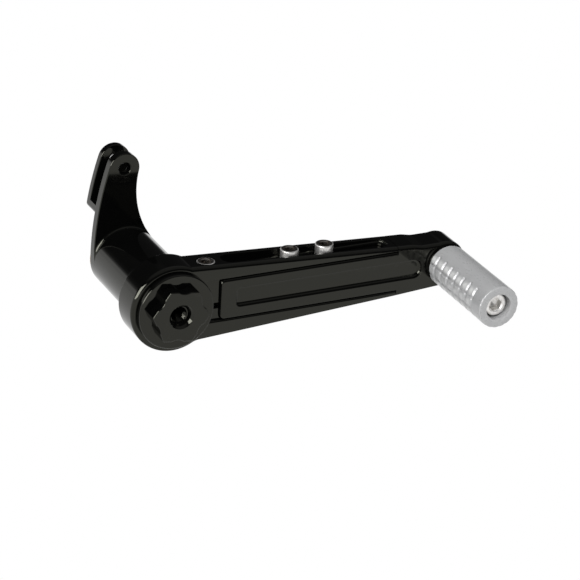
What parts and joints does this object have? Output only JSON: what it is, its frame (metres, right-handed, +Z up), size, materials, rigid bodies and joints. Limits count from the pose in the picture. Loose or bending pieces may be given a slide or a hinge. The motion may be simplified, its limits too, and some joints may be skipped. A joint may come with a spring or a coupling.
{
  "type": "motorcycle gear shift lever",
  "caption": "Forward-control gear shift lever: pivot axle, bellcrank with a clevis, clamped arm with a sliding end, and a toe peg.",
  "frame": {"origin": "on the pivot axis, in the plane of the arm's outer face, inside the pivot axle's tapped front hole", "axes": "+X from the pivot to the toe peg, +Y inboard along the pivot axis to the motorcycle's bracket, +Z up, with the clevis above the pivot"},
  "size_m": [0.1896, 0.1436, 0.0821],
  "materials": {
    "black_anodised": "gloss black anodised billet",
    "stainless": "bright machined stainless",
    "spring_steel": "oiled phosphate",
    "bronze": "sintered bearing bronze",
    "seal_rubber": "moulded nitrile",
    "pale_aluminium": "pale grey satin"
  },
  "bodies": {
    "axle": {"pivot_axle": "black_anodised", "front_thrust_washer": "bronze", "rear_thrust_washer": "bronze", "retaining_ring": "spring_steel"},
    "bellcrank": {"bellcrank": "black_anodised", "front_bush": "bronze", "rear_bush": "bronze", "front_seal": "seal_rubber", "rear_seal": "seal_rubber"},
    "arm": {"clamp_arm": "black_anodised", "pinch_bolt": "stainless"},
    "slider": {"slider_bar": "black_anodised", "clamp_screw_inner": "stainless", "clamp_screw_outer": "stainless", "peg_bolt": "stainless", "peg_sleeve": "stainless", "peg_inner_washer": "stainless", "peg_outer_washer": "stainless"},
    "toe_peg": {"toe_peg": "pale_aluminium", "peg_friction_ring": "seal_rubber"}
  },
  "joints": [
    {"name": "shift_pivot", "type": "hinge", "parent": "axle", "child": "bellcrank", "pos_m": [0, 0.035, 0], "axis": [0, -1, 0], "range_deg": [-12, 12]},
    {"name": "arm_clocking", "type": "hinge", "parent": "bellcrank", "child": "arm", "pos_m": [0, 0.0087, 0], "axis": [0, -1, 0], "range_deg": [-20, 20]},
    {"name": "length_slide", "type": "slide", "parent": "arm", "child": "slider", "axis": [1, 0, 0], "range_m": [0, 0.03]},
    {"name": "peg_turn", "type": "hinge", "parent": "slider", "child": "toe_peg", "pos_m": [0.1546, -0.03, 0.0013], "axis": [0, -1, 0], "continuous": true}
  ]
}
